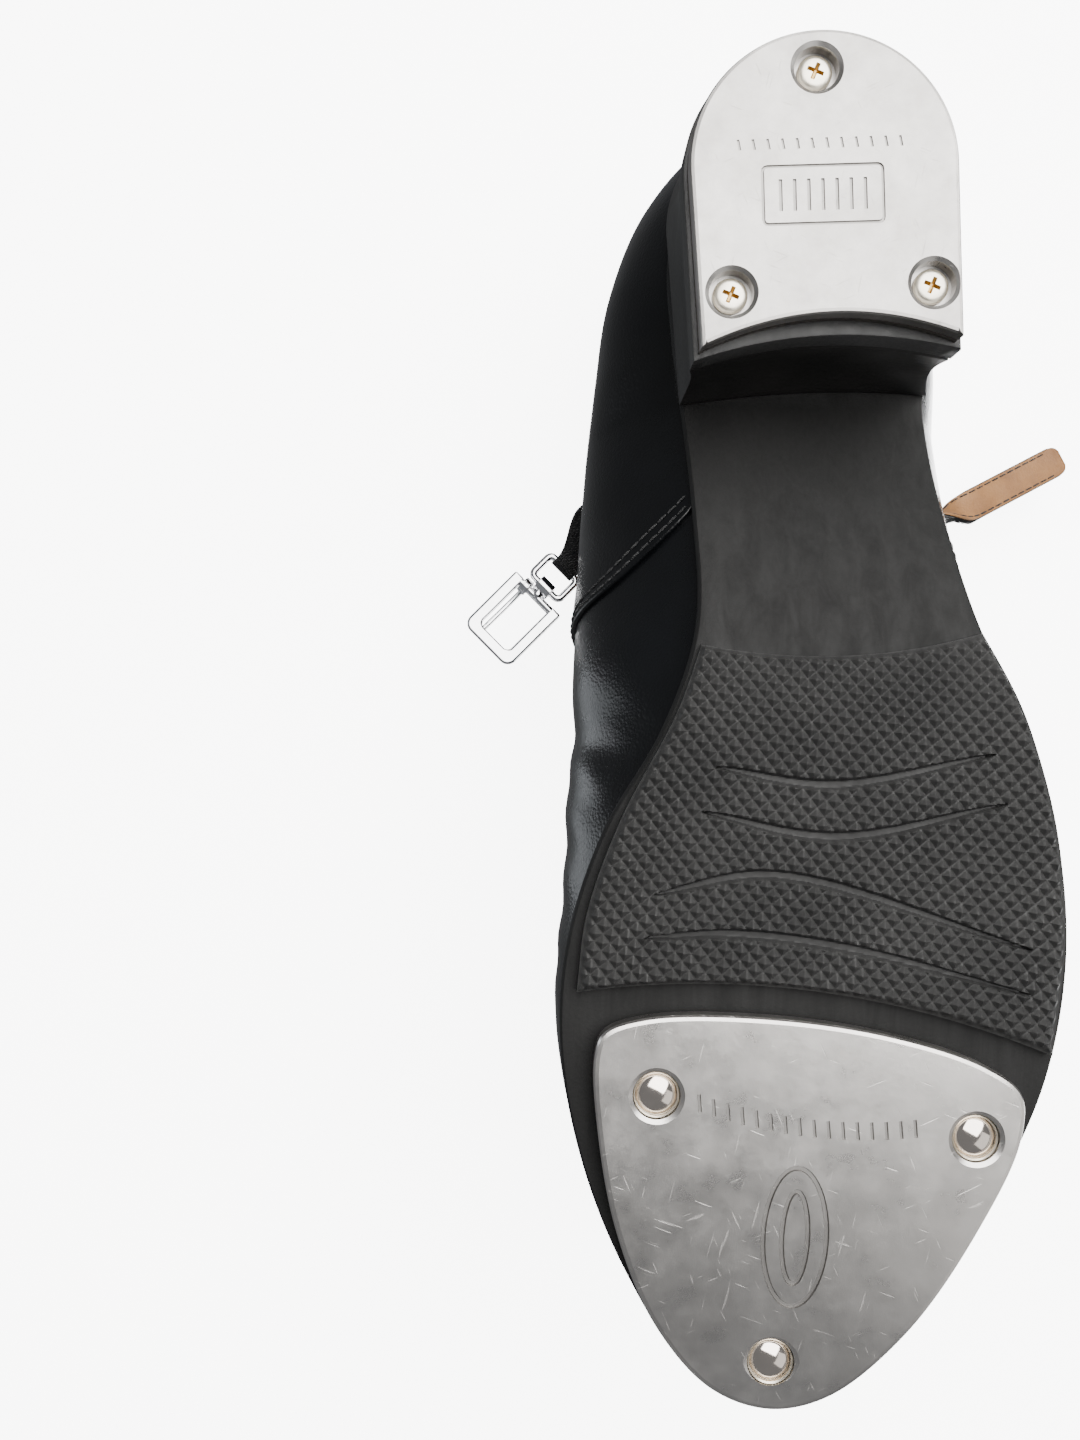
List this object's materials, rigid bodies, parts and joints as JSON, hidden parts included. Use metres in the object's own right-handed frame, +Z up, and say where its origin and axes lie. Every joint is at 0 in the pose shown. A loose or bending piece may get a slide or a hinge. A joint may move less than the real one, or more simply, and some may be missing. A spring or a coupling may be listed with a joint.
{
  "type": "tap shoe",
  "caption": "Low-heeled tap shoe for the right foot, leather upper with a strap and buckle, metal taps under heel and toe.",
  "frame": {"origin": "centre of the heel tap's flat face, on the floor the shoe stands on", "axes": "+Z up through the shoe, +Y from the heel to the toe, +X to the outer (lateral) side of the right foot"},
  "size_m": [0.1443, 0.2489, 0.0904],
  "materials": {
    "aluminium_tap": "brushed and scratched",
    "screw_steel": "nickel plated, brassy in the recess",
    "rivet_nickel": "polished dome",
    "fibre_board": "compressed fibre, matt",
    "rubber_sole": "smooth moulded rubber",
    "rubber_tread": "pyramid textured rubber",
    "heel_plastic": "black, lightly polished",
    "plain_steel": "plain",
    "cork": "granular",
    "tan_lining": "matt, fine grain",
    "black_leather": "glossy smooth grain",
    "stiffener": "impregnated felt",
    "black_elastic": "ribbed woven elastic",
    "chrome_metal": "mirror plated"
  },
  "bodies": {
    "shoe": {"heel_tap": "aluminium_tap", "toe_tap": "aluminium_tap", "heel_tap_screw_back": "screw_steel", "heel_tap_screw_medial": "screw_steel", "heel_tap_screw_lateral": "screw_steel", "toe_tap_rivet_medial": "rivet_nickel", "toe_tap_rivet_lateral": "rivet_nickel", "toe_tap_rivet_tip": "rivet_nickel", "heel_tap_board": "fibre_board", "toe_tap_board": "fibre_board", "insole_board": "fibre_board", "heel_top_lift": "rubber_sole", "outsole": "rubber_sole", "tread_pad": "rubber_tread", "heel_block": "heel_plastic", "heel_fixing_screw": "plain_steel", "shank_spring": "plain_steel", "forepart_filler": "cork", "sock_lining": "tan_lining", "vamp_lining": "tan_lining", "quarter_lining": "tan_lining", "vamp": "black_leather", "quarter_medial": "black_leather", "quarter_lateral": "black_leather", "backstay": "black_leather", "topline_binding": "black_leather", "strap_anchor": "black_leather", "heel_counter": "stiffener", "toe_puff": "stiffener"},
    "strap_base": {"strap_root": "black_leather"},
    "strap_end": {"strap": "black_leather", "strap_lining": "tan_lining"},
    "elastic": {"elastic_tab": "black_elastic"},
    "loop": {"buckle_loop": "chrome_metal"},
    "buckle": {"buckle_frame": "chrome_metal"},
    "prong": {"buckle_prong": "chrome_metal"}
  },
  "joints": [
    {"name": "strap_swing", "type": "hinge", "parent": "shoe", "child": "strap_base", "pos_m": [0.034, 0.0485, 0.0706], "axis": [0.5, 0.866, 0], "range_deg": [-120, 0]},
    {"name": "strap_twist", "type": "hinge", "parent": "strap_base", "child": "strap_end", "pos_m": [0.03723, 0.04663, 0.07153], "axis": [0.8403, -0.4851, 0.2419], "range_deg": [-176, 0]},
    {"name": "elastic_flex", "type": "hinge", "parent": "shoe", "child": "elastic", "pos_m": [-0.0332, 0.047, 0.0699], "axis": [0, 1, 0], "range_deg": [0, 34]},
    {"name": "loop_swing", "type": "hinge", "parent": "elastic", "child": "loop", "pos_m": [-0.04172, 0.05614, 0.07015], "axis": [-0.7314, -0.682, 0], "range_deg": [-45, 45]},
    {"name": "buckle_swing", "type": "hinge", "parent": "loop", "child": "buckle", "pos_m": [-0.04616, 0.0609, 0.07015], "axis": [-0.7314, -0.682, 0], "range_deg": [-45, 45]},
    {"name": "prong_swing", "type": "hinge", "parent": "buckle", "child": "prong", "pos_m": [-0.0482, 0.06309, 0.07015], "axis": [-0.7314, -0.682, 0], "range_deg": [-68, 0]}
  ]
}
